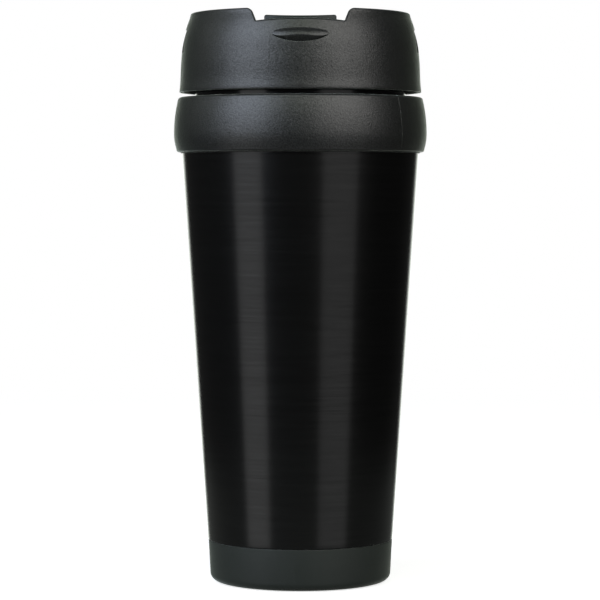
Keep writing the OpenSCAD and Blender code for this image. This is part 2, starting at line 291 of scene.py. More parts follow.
class Nodes:
    """Short ways to add and link the nodes of one material."""

    def __init__(self, name):
        self.material = bpy.data.materials.new(name)
        self.material.use_nodes = True
        self.tree = self.material.node_tree
        self.bsdf = self.tree.nodes["Principled BSDF"]
        self.object = self.add("ShaderNodeTexCoord").outputs["Object"]

    def add(self, kind, **settings):
        node = self.tree.nodes.new(kind)
        for key, value in settings.items():
            setattr(node, key, value)
        return node

    def link(self, a, b):
        self.tree.links.new(a, b)

    def noise(self, scale, detail, roughness=0.5, stretch=(1, 1, 1)):
        """Noise of the object's own position. A larger stretch makes it finer along that axis."""
        mapping = self.add("ShaderNodeMapping")
        mapping.inputs["Scale"].default_value = stretch
        self.link(self.object, mapping.inputs["Vector"])
        node = self.add("ShaderNodeTexNoise")
        node.inputs["Scale"].default_value = scale
        node.inputs["Detail"].default_value = detail
        node.inputs["Roughness"].default_value = roughness
        self.link(mapping.outputs[0], node.inputs["Vector"])
        return node.outputs["Fac"]

    def spread(self, value, low_out, high_out, low_in=0.3, high_in=0.7):
        """A value's range stretched to another range."""
        node = self.add("ShaderNodeMapRange")
        for key, number in (("From Min", low_in), ("From Max", high_in),
                            ("To Min", low_out), ("To Max", high_out)):
            node.inputs[key].default_value = number
        self.link(value, node.inputs["Value"])
        return node.outputs["Result"]

    def tint(self, value, dark, light):
        """A colour between dark and light, by a value."""
        return self.blend(self.spread(value, 0, 1), dark, light)

    def blend(self, factor, a, b):
        """A mix of two colours, each a fixed one or a node's output."""
        node = self.add("ShaderNodeMix", data_type="RGBA")
        self.link(factor, node.inputs["Factor"])
        for value, socket in ((a, node.inputs["A"]), (b, node.inputs["B"])):
            if isinstance(value, tuple):
                socket.default_value = (*value, 1)
            else:
                self.link(value, socket)
        return node.outputs["Result"]

    def bump(self, value, height, strength, under=None):
        """A surface roughened by a value, on top of another bump if there is one."""
        node = self.add("ShaderNodeBump")
        node.inputs["Distance"].default_value = height
        node.inputs["Strength"].default_value = strength
        self.link(value, node.inputs["Height"])
        if under is not None:
            self.link(under, node.inputs["Normal"])
        return node.outputs["Normal"]

    def edges(self, low_in=0.51, high_in=0.56):
        """1 on convex edges, where wear shows, and 0 elsewhere."""
        geometry = self.add("ShaderNodeNewGeometry")
        return self.spread(geometry.outputs["Pointiness"], 0, 1, low_in, high_in)

    def finish(self, colour, roughness=None, normal=None, **fixed):
        """The finished material. The fixed values are named as the shader's sockets, _ for a space."""
        for value, key in ((colour, "Base Color"), (roughness, "Roughness"), (normal, "Normal")):
            if value is not None:
                self.link(value, self.bsdf.inputs[key])
        for key, value in fixed.items():
            self.bsdf.inputs[key.replace("_", " ")].default_value = value
        return self.material


def moulded_plastic(name, dark, light, worn):
    """Plastic with a fine spark-eroded texture, cloudy tone and paler edges."""
    n = Nodes(name)
    cloud = n.noise(45, 4)
    speck = n.noise(1800, 3, 0.7)
    colour = n.tint(cloud, dark, light)
    colour = n.blend(n.spread(speck, 0, 0.25, 0.52, 0.75), colour, worn)
    colour = n.blend(n.edges(), colour, worn)
    normal = n.bump(n.noise(900, 2), 0.025 * MM, 0.7)
    normal = n.bump(speck, 0.1 * MM, 1.0, normal)
    n.link(n.spread(speck, 0.4, 1.0), n.bsdf.inputs["Specular IOR Level"])
    return n.finish(colour, n.spread(speck, 0.27, 0.4), normal,
                    Sheen_Weight=1.0, Sheen_Roughness=0.28, Sheen_Tint=(0.9, 1.0, 0.88, 1))


def smooth_plastic(name, dark, light, rough=(0.3, 0.42), **extra):
    """Plain moulded plastic with faint handling marks."""
    n = Nodes(name)
    marks = n.noise(260, 5, 0.65)
    normal = n.bump(n.noise(120, 2), 0.02 * MM, 0.4)
    normal = n.bump(n.noise(1800, 2), 0.012 * MM, 0.5, normal)
    return n.finish(n.tint(n.noise(40, 3), dark, light), n.spread(marks, *rough), normal, **extra)


def gloss_black():
    """The liner's polished plastic, with hairline wiping marks."""
    n = Nodes("gloss_black")
    wipe = n.noise(90, 6, 0.7, (1, 1, 14))
    normal = n.bump(n.noise(60, 2), 0.02 * MM, 0.3)
    return n.finish(n.tint(n.noise(30, 2), (0.006, 0.006, 0.008), (0.011, 0.011, 0.013)),
                    n.spread(wipe, 0.08, 0.2), normal)


def brushed_black():
    """Black coat over steel brushed round the wall: fine level streaks and a stretched gloss."""
    n = Nodes("brushed_black")
    fine = n.noise(1.0, 4, 0.7, (14, 14, 5200))
    broad = n.noise(1.0, 3, 0.6, (6, 6, 900))
    streak = n.noise(1.0, 4, 0.7, (40, 40, 1800))
    colour = n.tint(fine, (0.0016, 0.0016, 0.0017), (0.0050, 0.0050, 0.0051))
    colour = n.blend(n.edges(0.52, 0.6), colour, (0.03, 0.03, 0.032))
    normal = n.bump(broad, 0.008 * MM, 0.4)
    normal = n.bump(fine, 0.006 * MM, 0.5, normal)
    n.link(n.spread(streak, 0.4, 0.6), n.bsdf.inputs["Specular IOR Level"])
    tangent = n.add("ShaderNodeTangent", direction_type="RADIAL", axis="Z")
    n.link(tangent.outputs[0], n.bsdf.inputs["Tangent"])
    return n.finish(colour, n.spread(streak, 0.21, 0.25), normal,
                    Anisotropic=0.45, Anisotropic_Rotation=0.25)


def silicone():
    """Translucent grey silicone with a dusty bloom."""
    n = Nodes("silicone")
    bloom = n.noise(220, 5, 0.6)
    return n.finish(n.tint(bloom, (0.27, 0.27, 0.26), (0.36, 0.36, 0.35)),
                    n.spread(bloom, 0.42, 0.62), n.bump(bloom, 0.02 * MM, 0.5),
                    Subsurface_Weight=0.25, Subsurface_Scale=0.002)


def rubber(name, dark, light, specular=0.35):
    """Dull rubber, foam or unpolished plastic with a fine grain."""
    n = Nodes(name)
    grain = n.noise(900, 4, 0.7)
    return n.finish(n.tint(n.noise(120, 4), dark, light), n.spread(grain, 0.7, 0.9),
                    n.bump(grain, 0.08 * MM, 0.6), Specular_IOR_Level=specular)


def pale_floor(reach):
    """A pale floor that fades out to plain white at a distance from the object."""
    n = Nodes("pale_floor")
    distance = n.add("ShaderNodeVectorMath", operation="LENGTH")
    n.link(n.object, distance.inputs[0])
    far = n.spread(distance.outputs["Value"], 0, 1, reach * 0.25, reach)
    glow = n.add("ShaderNodeEmission")
    glow.inputs["Color"].default_value = (1, 1, 1, 1)
    mix = n.add("ShaderNodeMixShader")
    n.link(far, mix.inputs[0])
    n.link(n.bsdf.outputs[0], mix.inputs[1])
    n.link(glow.outputs[0], mix.inputs[2])
    n.link(mix.outputs[0], n.tree.nodes["Material Output"].inputs["Surface"])
    speck = n.noise(30, 3)
    return n.finish(n.tint(speck, (0.86, 0.86, 0.86), (0.9, 0.9, 0.9)), Roughness=0.9,
                    Specular_IOR_Level=0.2, Emission_Color=(1, 1, 1, 1), Emission_Strength=FLOOR_GLOW)


# ---------------------------------------------------------------- cup

def outer_shell(material):
    """Steel wall, rounded at both ends, with extra rows that keep its shading even."""
    sheet = 0.5 * MM
    low_z = seam_z + 0.1 * MM
    start = (wall_r(low_z + 2 * MM), low_z + 2 * MM, 0)
    profile = rounded([
        start, (wall_r(low_z), low_z, 0.3 * MM), (wall_r(low_z) - sheet, low_z, 0.1 * MM),
        (wall_r(wall_end_z) - sheet, wall_end_z, 0.1 * MM), (wall_r(wall_end_z), wall_end_z, 0.15 * MM),
        start])[:-1]
    span = [(wall_r(z), z) for z in np.linspace(wall_end_z - 1 * MM, low_z + 3 * MM, 60)]
    obj = lathe("steel_wall", profile + span, around(288))
    return place(obj, "cup", "coated_steel", material, "outer_shell")


def neck_threads(angles, z):
    """Thread ridges that stand out of the neck, as in the CAD liner. Each one fades in and out."""
    starts, lead, height, half, flank = 3, 12 * MM, 1.2 * MM, 1.05 * MM, 0.6 * MM
    start_z, turn, phase, fade = mouth_z - 9.8 * MM, math.pi, math.radians(3), math.radians(15)
    out = np.zeros(len(angles))
    for s in range(starts):
        a = (angles - phase - s * 2 * math.pi / starts) % (2 * math.pi)
        off = abs(z - start_z - lead * a / (2 * math.pi))
        ends = smoothstep(a / fade) * smoothstep((turn - a) / fade)
        out = np.maximum(out, height * smoothstep((half - off) / flank) * ends * (a < turn))
    return out


def inner_liner(material):
    """Glossy plastic liner: cup, flange, threaded neck and rolled mouth."""
    gap, wall, bottom = 4 * MM, 2 * MM, 2.2 * MM
    floor_z = low("inner_liner").z
    floor_r = wall_r(floor_z) - gap
    flange_z = wall_end_z + 1.6 * MM
    blend_z = collar_z - 2 * MM
    blend_r = wall_r(blend_z) - gap
    shoulder_z = blend_z + 6 * MM
    mouth_r = 34.7 * MM
    out = rounded([
        (0, floor_z, 0), (floor_r, floor_z, 5 * MM), (blend_r, blend_z, 6 * MM), (neck_r, shoulder_z, 3 * MM),
        (neck_r, flange_z, 0.2 * MM), (flange_r, flange_z, 0.3 * MM),
        (flange_r, flange_z + 2 * MM, 0.3 * MM), (neck_r, flange_z + 2 * MM, 0.4 * MM),
        (neck_r, flange_z + 3.5 * MM, 0)])
    thread = [(neck_r, z) for z in np.arange(mouth_z - 12.5 * MM, mouth_z - 2 * MM, 0.1 * MM)]
    inside = rounded([
        (neck_r, mouth_z - 1.9 * MM, 0), (neck_r, mouth_z, 0.6 * MM), (mouth_r, mouth_z, 0.6 * MM),
        (mouth_r, shoulder_z, 3 * MM), (blend_r - wall, blend_z, 6 * MM),
        (wall_r(floor_z + bottom) - gap - wall, floor_z + bottom, 5 * MM), (0, floor_z + bottom, 0)])
    obj = lathe("liner", out + thread + inside, around(360), False, neck_threads)
    return place(obj, "cup", "liner_gloss", material, "inner_liner")


def parting_line(angles, z):
    """The collar's mould line: a fine ridge that leans a little."""
    lean = math.radians(1.0) * (collar_top_z - z) / (collar_top_z - collar_z)
    off = (angles - PARTING - lean + math.pi) % (2 * math.pi) - math.pi
    return 0.07 * MM * np.exp(-(off / math.radians(0.2)) ** 2)


def collar_outside(corner, low_corner):
    """The collar's outer line: a round lower edge, two arcs that meet at its widest level and a round top."""
    wide_z = collar_z + 6.5 * MM
    down, up = 19 * MM, 51 * MM
    lower = math.degrees(math.asin((wide_z - collar_z - low_corner) / down))
    upper = math.degrees(math.asin((collar_top_z - corner - wide_z) / up))
    line = arc(collar_r - down, wide_z, down, -lower, 0, 12)
    line += arc(collar_r - up, wide_z, up, 0, upper, 18)[1:]
    low_r, high_r = line[0][0], line[-1][0]
    foot = arc(low_r - low_corner, collar_z + low_corner, low_corner, -90, 0, 6)[:-1]
    return foot + line + arc(high_r - corner, collar_top_z - corner, corner, 0, 90, 6)[1:], low_r, high_r


def grip_collar(material):
    """Textured collar, hollow inside, with a thin bead under its lower edge.

    Its columns stand closest together at the mould line.
    """
    corner, low_corner = 1.2 * MM, 0.8 * MM
    outside, low_r, high_r = collar_outside(corner, low_corner)
    inside_r, roof_z = flange_r + fit, wall_end_z + 3.6 * MM
    bead_r, bead_z = wall_r(collar_z) + fit, collar_z - 0.4 * MM
    inside = rounded([
        (high_r - 2 * corner, collar_top_z, 0), (neck_r + fit, collar_top_z, 0.3 * MM),
        (neck_r + fit, roof_z, 0.1 * MM), (inside_r, roof_z, 0.2 * MM), (inside_r, wall_end_z, 0),
        (bead_r, collar_z + 1 * MM, 0), (bead_r, bead_z, 0.2 * MM), (bead_r + 0.5 * MM, bead_z, 0.2 * MM),
        (bead_r + 0.5 * MM, collar_z, 0.1 * MM), (low_r - 1.2 * low_corner, collar_z, 0)], 3)
    near = PARTING + np.radians(np.arange(-1.5, 3.5, 0.08))
    rest = np.linspace(near[-1], near[0] + 2 * math.pi, 320)[1:-1]
    obj = lathe("grip_ring", outside + inside, np.concatenate([near, rest]), True, parting_line)
    return place(obj, "cup", "grip_plastic", material, "grip_collar")


def base_cup(material):
    """Base cup, closed underneath, with a recess for the foot pad, a spigot and a post in the middle."""
    foot_r, seam_r = wall_seam_r - 0.85 * MM, wall_seam_r - 0.1 * MM
    ledge_z, floor_z, post_z = seam_z - 0.05 * MM, 4 * MM, 17 * MM
    post_out, post_in = 14 * MM, 12 * MM
    spigot_z = high("base_cup").z
    spigot_r = wall_r(spigot_z) - 0.6 * MM
    profile = rounded([
        (0, pad_top_z, 0), (pad_r + fit, pad_top_z, 0.2 * MM), (pad_r + fit, base_low_z, 0.5 * MM),
        (foot_r, base_low_z, 3.6 * MM), (seam_r, ledge_z, 0.35 * MM), (wall_seam_r - 0.6 * MM, ledge_z, 0),
        (spigot_r, spigot_z, 0.3 * MM), (spigot_r - 2 * MM, spigot_z, 0.3 * MM),
        (spigot_r - 2.6 * MM, floor_z, 1 * MM), (post_out, floor_z, 0.5 * MM), (post_out, post_z, 0.2 * MM),
        (post_in, post_z, 0.2 * MM), (post_in, floor_z, 0.5 * MM), (0, floor_z, 0)], 8)
    return place(lathe("foot_cup", profile, around(240), False), "cup", "base_plastic", material, "base_cup")


def foot_pad(material):
    """Non-slip pad with two grooves round it."""
    groove_z, groove_w, round_off = 0.5 * MM, 1 * MM, 0.15 * MM
    outline = [(0, pad_top_z, 0), (pad_r, pad_top_z, 0.2 * MM), (pad_r, foot_z, 0.3 * MM)]
    for r in (pad_r - 3 * MM, pad_r - 6.5 * MM):
        outline += [(r, foot_z, round_off), (r, groove_z, round_off),
                    (r - groove_w, groove_z, round_off), (r - groove_w, foot_z, round_off)]
    obj = lathe("foot_grip", rounded(outline + [(0, foot_z, 0)], 3), around(192), False)
    return place(obj, "cup", "foot_rubber", material, "foot_pad")


# ---------------------------------------------------------------- lid shell

# The rim, the thumb notch, the finger lip's half width and the side windows. NOTCH_LEAN is the direction
# that the notch's right-hand side faces, in degrees, and SKIRT_R turns widths away from the rim into angles.
RIM_FILLET = 0.8 * MM
INNER_FILLET = 0.45 * MM
RIM_WALL = 2.2 * MM
NOTCH_HALF = 15 * MM
NOTCH_DEEP = 4.4 * MM
NOTCH_CROWN = 0.75 * MM
NOTCH_CORNER = 2.6 * MM
NOTCH_SLANT = 0.9 * MM
NOTCH_LEAN = 158
NOTCH_END = 22 * MM
NOTCH_STEPS = 51
LIP_HALF = 9.5 * MM
SKIRT_R = 41 * MM
WINDOW_LOW = rim_z - 13.9 * MM
WINDOW_HIGH = rim_z - 5.6 * MM
WINDOW_HALF = math.radians(10.9)

# The finger lip's section. Under it: share of the way up, how far it stands out and how far it is
# hollowed, in millimetres. Over it: share of the way up and how far it stands out.
LIP_UNDER = ((0, 0, 0), (0.03, 0, 0.8), (0.12, 0, 0.74), (0.25, 0.03, 0.58), (0.4, 0.13, 0.4),
             (0.55, 0.29, 0.24), (0.7, 0.48, 0.12), (0.85, 0.71, 0.03))
LIP_OVER = ((0, 0.9), (0.15, 0.88), (0.32, 0.81), (0.49, 0.69), (0.63, 0.54), (0.75, 0.36), (0.83, 0.16),
            (0.88, -0.06), (0.92, -0.16), (0.96, -0.14), (1, 0))

# Per column of the lid shell, all the way round: its angle at the rim, outside and inside, the place and
# the normal of the rim's edge (x is nan away from the notch), and its angle away from the rim. Angles are
# from -Y towards +X.
Columns = namedtuple("Columns", "out inside x z across up away")


def bend(p, m, q, steps=90):
    """A curve from p to q that leaves and arrives towards the corner m."""
    t = np.linspace(0, 1, steps + 1)[:, None]
    return (1 - t) ** 2 * np.array(p) + 2 * t * (1 - t) * np.array(m) + t * t * np.array(q)


def lid_outer_curve():
    """Heights and radii of the lid's outer line, from its lower edge to the rim."""
    foot_r, rim_r = high("lid_shell").x, 38.75 * MM
    flare = through([(foot_r, lid_z), (foot_r - 0.25 * MM, lid_z + 2.5 * MM),
                     (foot_r - 0.39 * MM, lid_z + 4.5 * MM), (foot_r - 0.47 * MM, lid_z + 7 * MM),
                     (foot_r - 0.6 * MM, lid_z + 10 * MM)])
    points = np.vstack([
        flare,
        bend((foot_r - 0.95 * MM, lid_z + 14.3 * MM), (foot_r - 1.25 * MM, lid_z + 18.9 * MM),
             (rim_r + 0.85 * MM, rim_z - 3.6 * MM)),
        [[rim_r + 0.1 * MM, rim_z - 1.6 * MM], [rim_r - 0.32 * MM, rim_z]]])
    return points[:, 1], points[:, 0]


OUTER_Z, OUTER_R = lid_outer_curve()


def outer_r(z):
    """Outer radius of the lid shell at a height."""
    return np.interp(z, OUTER_Z, OUTER_R)


def inner_r(z):
    """Radius of the recess wall inside the rim, which widens a little upwards."""
    at_deck, slope = 36.4 * MM, 0.055
    return at_deck + (z - deck_z) * slope


def notch_path():
    """The rim's edge on the right as (x, z, normal x, normal z), from the notch's middle outwards."""
    floor_z = rim_z - NOTCH_DEEP
    path = [(x, floor_z + NOTCH_CROWN * (1 - (x / NOTCH_HALF) ** 2), 0, 1)
            for x in np.linspace(0, NOTCH_HALF, NOTCH_STEPS)]
    path += [(NOTCH_HALF, floor_z, math.cos(a), math.sin(a))
             for a in np.radians(np.linspace(90, NOTCH_LEAN, 6)[1:-1])]
    corner_x = NOTCH_HALF + NOTCH_SLANT + NOTCH_CORNER
    corner = [(corner_x + NOTCH_CORNER * math.cos(a), rim_z - NOTCH_CORNER + NOTCH_CORNER * math.sin(a),
               math.cos(a), math.sin(a)) for a in np.radians(np.linspace(NOTCH_LEAN, 90, 10))]
    x, z, across, up = corner[0]
    path += [(NOTCH_HALF + t * (x - NOTCH_HALF), floor_z + t * (z - floor_z), across, up)
             for t in np.linspace(0, 1, 8)[:-1]]
    return path + corner + [(x, rim_z, 0, 1) for x in np.linspace(corner_x, NOTCH_END, 5)[1:]]


def notch_columns():
    """Columns from the notch's middle to a little past its right-hand corner."""
    path = notch_path()
    even_x = [*np.linspace(0, NOTCH_HALF, NOTCH_STEPS),
              *np.linspace(NOTCH_HALF, NOTCH_END, len(path) - NOTCH_STEPS + 1)[1:]]
    columns = []
    for (x, z, across, up), away_x in zip(path, even_x):
        out_r, in_r = outer_r(z - up * RIM_FILLET), inner_r(z - up * INNER_FILLET)
        columns.append((math.asin((x - across * RIM_FILLET) / out_r),
                        math.asin((x - across * INNER_FILLET) / in_r),
                        x, z, across, up, math.asin(away_x / SKIRT_R)))
    return columns


def lid_columns():
    """The lid shell's columns all the way round, which even out from the notch towards the back."""
    half, even_out = notch_columns(), math.radians(35)
    out, inside, *_, away = half[-1]
    for angle in np.linspace(away, math.pi, 124)[1:]:
        fade = 1 - smoothstep((angle - away) / even_out)
        half.append((angle + (out - away) * fade, angle + (inside - away) * fade,
                     math.nan, rim_z, 0, 1, angle))
    left = [(-out, -inside, -x, z, -across, up, -away) for out, inside, x, z, across, up, away in half[1:-1]]
    return Columns(*np.array(left[::-1] + half).T)


def lip_rows(x):
    """Rows of the finger lip as (height, how far it stands out), from its lower edge to its upper one.

    It is a blunt-ended roll with a hollow under it. Past its ends the rows open out again.
    """
    near = np.maximum(0, 1 - (x / LIP_HALF) ** 2)
    beyond = 0.12 * MM + 1.5 * MM * smoothstep((abs(x) - LIP_HALF) / (9 * MM))
    middle = rim_z - 9.25 * MM
    low_z = middle - 2.5 * MM * near ** 0.75 - beyond
    crest = middle - (0.3 + 1.6 * (1 - near)) * MM * near
    high_z = middle + 2.1 * MM * near ** 0.35 + beyond
    rows = [(low_z + t * (crest - low_z), (proud * near ** 0.65 - sunk * near ** 0.75) * MM)
            for t, proud, sunk in LIP_UNDER]
    return rows + [(crest + t * (high_z - crest), out * near ** 0.65 * MM) for t, out in LIP_OVER]


def witness_shift(x, z):
    """Faint mould lines that run down from beside the lip's two ends."""
    line_x, half_width, height = 10.6 * MM, 0.22 * MM, 0.035 * MM
    low_z, high_z = rim_z - 23 * MM, rim_z - 8.5 * MM
    reach = smoothstep((z - low_z) / (3 * MM)) * smoothstep((high_z - z) / (1 * MM))
    return height * np.exp(-((abs(x) - line_x) / half_width) ** 2) * reach


def turned(angle, radius, z):
    """Points at an angle from -Y towards +X, a radius and a height, each with one value per column."""
    angle, radius, z = np.broadcast_arrays(angle, radius, z)
    return np.stack([radius * np.sin(angle), -radius * np.cos(angle), z], axis=1)


def skirt_rows(columns):
    """Rows up the outside to the windows' top, and the first and last of the rows beside the windows.

    The lip is shaped by front_x, which puts the columns of the back half far beyond its ends.
    """
    angle, edge, far_off = columns.away, 0.3 * MM, 1.0
    front_x = np.where(abs(angle) < math.pi / 2, SKIRT_R * np.sin(angle), far_off)
    rows = [turned(angle, outer_r(lid_z + edge) - edge + x, lid_z + z)
            for x, z in arc(0, edge, edge, -90, 0, 5)]
    levels = [(z, 0) for z in (*np.linspace(lid_z + 1.3 * MM, WINDOW_LOW, 13), WINDOW_LOW + 1 * MM)]
    first = len(rows) + len(levels) - 2
    lip = lip_rows(front_x)
    plain, bottom, top = levels[-1][0], lip[0][0], lip[-1][0]
    levels += [(plain + t * (bottom - plain), 0) for t in (0.55, 0.85)] + lip
    levels += [(top + t * (WINDOW_HIGH - top), 0) for t in (0.1, 0.3, 0.6, 1)]
    rows += [turned(angle, outer_r(z) + out + witness_shift(front_x, z), z) for z, out in levels]
    return rows, first, len(rows) - 1


def climb_rows(columns):
    """Rows from the windows' top to the rim, where the columns move over to the notch's own."""
    edge_z = columns.z - columns.up * RIM_FILLET
    rows = []
    for t in np.linspace(0, 1, 12)[1:]:
        z = WINDOW_HIGH + t * (edge_z - WINDOW_HIGH)
        angle = columns.away + (columns.out - columns.away) * smoothstep(t)
        rows.append(turned(angle, outer_r(z), z))
    return rows


def rim_row(columns, depth, sink):
    """One row over the rim: depth is the share of the wall's thickness from outside, sink the way down."""
    x, z = columns.x - columns.across * sink, columns.z - columns.up * sink
    out_r = outer_r(columns.z - columns.up * RIM_FILLET)
    in_r = inner_r(columns.z - columns.up * INNER_FILLET)
    r = out_r + (in_r - out_r) * depth
    plain = columns.out + (columns.inside - columns.out) * depth
    return turned(np.where(np.isnan(x), plain, np.arcsin(np.clip(x / r, -1, 1))), r, z)


def rim_rows(columns):
    """Rows over the rim: the outer round, the flat edge and the inner round."""
    rows = [rim_row(columns, RIM_FILLET * (1 - math.cos(a)) / RIM_WALL, RIM_FILLET * (1 - math.sin(a)))
            for a in np.radians([15, 30, 45, 60, 75, 90])]
    rows.append(rim_row(columns, 0.5, 0))
    return rows + [
        rim_row(columns, 1 - INNER_FILLET * (1 - math.cos(a)) / RIM_WALL, INNER_FILLET * (1 - math.sin(a)))
        for a in np.radians([90, 72, 54, 36, 18])]


def inside_rows(columns):
    """Rows down the recess to the deck, over the deck's edge and down the inside of the skirt."""
    edge_z, shoulder_z = columns.z - columns.up * INNER_FILLET, deck_z + 0.02 * MM
    rows = []
    for t in np.linspace(0, 1, 9):
        z = edge_z + t * (shoulder_z - edge_z)
        angle = columns.inside + (columns.away - columns.inside) * smoothstep(t)
        rows.append(turned(angle, inner_r(z), z))
    skirt = rounded([(37.5 * MM, shoulder_z, 0), (39.3 * MM, shoulder_z, 0.1 * MM),
                     (39.9 * MM, deck_z - 3.2 * MM, 0), (41.0 * MM, lid_z, 0.4 * MM),
                     (41.6 * MM, lid_z, 0)], 4)
    return rows + [turned(columns.away, r, z) for r, z in skirt]


def lid_shell(material):
    """The lid's textured outer shell: one skin with the notch, the finger lip and two side windows."""
    columns = lid_columns()
    skirt, first, last = skirt_rows(columns)
    rows = np.array(skirt + climb_rows(columns) + rim_rows(columns) + inside_rows(columns))
    n_rows, n_cols = rows.shape[:2]
    beside = abs(abs(columns.away) - math.pi / 2) < WINDOW_HALF
    window = np.flatnonzero(beside & np.roll(beside, -1))
    holes = {i * n_cols + j for i in range(first, last) for j in window}
    faces = grid_faces(n_rows, n_cols, True)
    verts, pockets = pocket(rows.reshape(-1, 3), faces, holes, 1.8 * MM)
    faces = [face for k, face in enumerate(faces) if k not in holes] + pockets
    return place(mesh_object("lid_body", verts, faces, 40), "lid", "lid_plastic", material, "lid_shell")


def pocket(verts, faces, holes, depth):
    """Sinks some faces into the surface by a depth towards the axis, with walls round them."""
    sunk, edges, out = {}, {}, []
    verts = list(verts)
    for k in holes:
        for v in faces[k]:
            if v not in sunk:
                x, y, z = verts[v]
                s = 1 - depth / math.hypot(x, y)
                sunk[v] = len(verts)
                verts.append((x * s, y * s, z))
        f = faces[k]
        out.append(tuple(sunk[v] for v in f))
        for a, b in zip(f, f[1:] + f[:1]):
            if (b, a) in edges:
                del edges[(b, a)]
            else:
                edges[(a, b)] = True
    out += [(a, b, sunk[b], sunk[a]) for a, b in edges]
    return verts, out


# ---------------------------------------------------------------- lid core and slide

DRINK_Y = -26.5 * MM
VENT_Y = -12.5 * MM
LEG_X, LEG_Y, LEG_W, LEG_L = 8 * MM, -20 * MM, 2.4 * MM, 5 * MM
TRAVEL = 14 * MM
PLAY = 0.3 * MM
SLIDER_R = 35.7 * MM
SLIDER_HALF = 12.3 * MM
RIDGE_THICK = 2.4 * MM
under_z = deck_z - 2.2 * MM
slide_z = deck_z + 0.05 * MM


def snap_tab(side):
    """A clip of the core that fills one side window of the shell, thickest at its lower end."""
    low_z, high_z, half = rim_z - 13.6 * MM, rim_z - 5.9 * MM, 7.2 * MM
    back_r, foot_r, foot_z = 37.5 * MM, 39 * MM, deck_z - 1 * MM
    line = [(foot_r, low_z)]
    for t in np.linspace(0, 1, 6):
        z = low_z + t * (high_z - low_z)
        line.append((outer_r(z) - 0.35 * MM * t, z))
    line += [(back_r, high_z), (back_r, foot_z), (foot_r, foot_z)]
    return swept("tab", [
        [(side * (math.sqrt(r * r - y * y) if r > foot_r else r), y, z) for r, z in line]
        for y in np.linspace(-half, half, 13)])


def clips(material):
    """The core's two side clips, which show dark in the shell's windows: their near-black material is painted
    shade.
    """
    pair = combine(snap_tab(-1), snap_tab(1), "UNION")
    soften(pair, 0.1 * MM, 2)
    pair.name = "clips"
    return place(pair, "lid", "core_plastic", material, "lid_core")


def guide_rail(side):
    """One of the two rails on the deck that the slider runs between."""
    x, half = side * 13.3 * MM, 0.7 * MM
    outline = rounded_box((x - half, x + half), (-30 * MM, 12 * MM), 0.6 * MM)
    return prism("rail", outline, deck_z - 0.5 * MM, deck_z + 2.2 * MM)


def leg_slot(side):
    """What is cut out of the deck for one of the slider's legs and its travel."""
    x, half = side * LEG_X, LEG_W / 2 + PLAY
    outline = rounded_box((x - half, x + half), (LEG_Y - PLAY, LEG_Y + LEG_L + TRAVEL + PLAY), 0.5 * MM)
    return prism("cut", outline, under_z - 1 * MM, deck_z + 1 * MM)


def lid_core(material):
    """Deck with drink hole, vent, leg slots and rails, over the skirt and the locator ring."""
    deck_r, skirt_out, skirt_in, ring_out, ring_in = np.array([39.2, 39.7, 38.5, 34.2, 33]) * MM
    skirt_z, ring_z, corner = lid_z + 1.2 * MM, under_z - 6.6 * MM, 0.3 * MM
    profile = rounded([
        (0, deck_z, 0), (deck_r, deck_z, 0.2 * MM), (deck_r, under_z, 0.1 * MM),
        (skirt_out, under_z, 0.1 * MM), (skirt_out, skirt_z, corner), (skirt_in, skirt_z, corner),
        (skirt_in, under_z, corner), (ring_out, under_z, corner), (ring_out, ring_z, corner),
        (ring_in, ring_z, corner), (ring_in, under_z, corner), (0, under_z, 0)], 3)
    core = lathe("lid_deck", profile, around(160), False)
    for y, width, length in ((DRINK_Y, 18.2 * MM, 9.2 * MM), (VENT_Y, 6.3 * MM, 6.2 * MM)):
        boss = prism("boss", slot_outline(y, width, length), under_z - 2.5 * MM, under_z + 0.5 * MM)
        combine(core, boss, "UNION")
    for side in (-1, 1):
        combine(core, guide_rail(side), "UNION")
        combine(core, leg_slot(side), "DIFFERENCE")
    for y, width, length in ((DRINK_Y, 15 * MM, 6 * MM), (VENT_Y, 3.1 * MM, 3 * MM)):
        hole = prism("cut", slot_outline(y, width, length), under_z - 5 * MM, deck_z + 1 * MM)
        combine(core, hole, "DIFFERENCE")
    shade(core)
    soften(core, 0.15 * MM, 2)
    return place(core, "lid", "core_plastic", material, "lid_core")


def slider_outline():
    """Slider from above: straight sides, a front that follows the rim and small rear corners."""
    back, corner = -8.6 * MM, 1.2 * MM
    reach = math.degrees(math.asin(SLIDER_HALF / SLIDER_R))
    out = arc(0, 0, SLIDER_R, -90 - reach, -90 + reach, 28)
    out += arc(SLIDER_HALF - corner, back - corner, corner, 0, 90, 5)
    return out + arc(corner - SLIDER_HALF, back - corner, corner, 90, 180, 5)


def thumb_ridge():
    """Upright ridge at the slider's front, with a dished top edge, round corners and a sloping back."""
    z0, top_z, corner, fillet = deck_z + 1 * MM, rim_z - 2.3 * MM, 0.8 * MM, 0.45 * MM
    sections = []
    for x in SLIDER_HALF * np.sin(np.linspace(-math.pi / 2, math.pi / 2, 49)):
        past = max(0, abs(x) - (SLIDER_HALF - corner)) / corner
        dish = 0.4 * MM * (1 - (x / SLIDER_HALF) ** 2)
        top = top_z - dish - corner * (1 - math.sqrt(max(0, 1 - past ** 2)))
        front = -math.sqrt(SLIDER_R ** 2 - x * x)
        back = front + RIDGE_THICK
        line = rounded([(front, z0, 0), (front + 0.15 * MM, top, fillet),
                        (back - 0.5 * MM, top, fillet), (back + 1.6 * MM, z0, 0)])
        sections.append([(x, y, z) for y, z in line])
    return swept("ridge", sections)


def grip_bar(i):
    """One of the low bars across the slider."""
    y = -27 * MM + i * 3.2 * MM
    outline = rounded_box((-9.3 * MM, 9.3 * MM), (y, y + 1.2 * MM), 0.55 * MM)
    return prism("bar", outline, slide_z + 1.5 * MM, slide_z + 2.7 * MM)


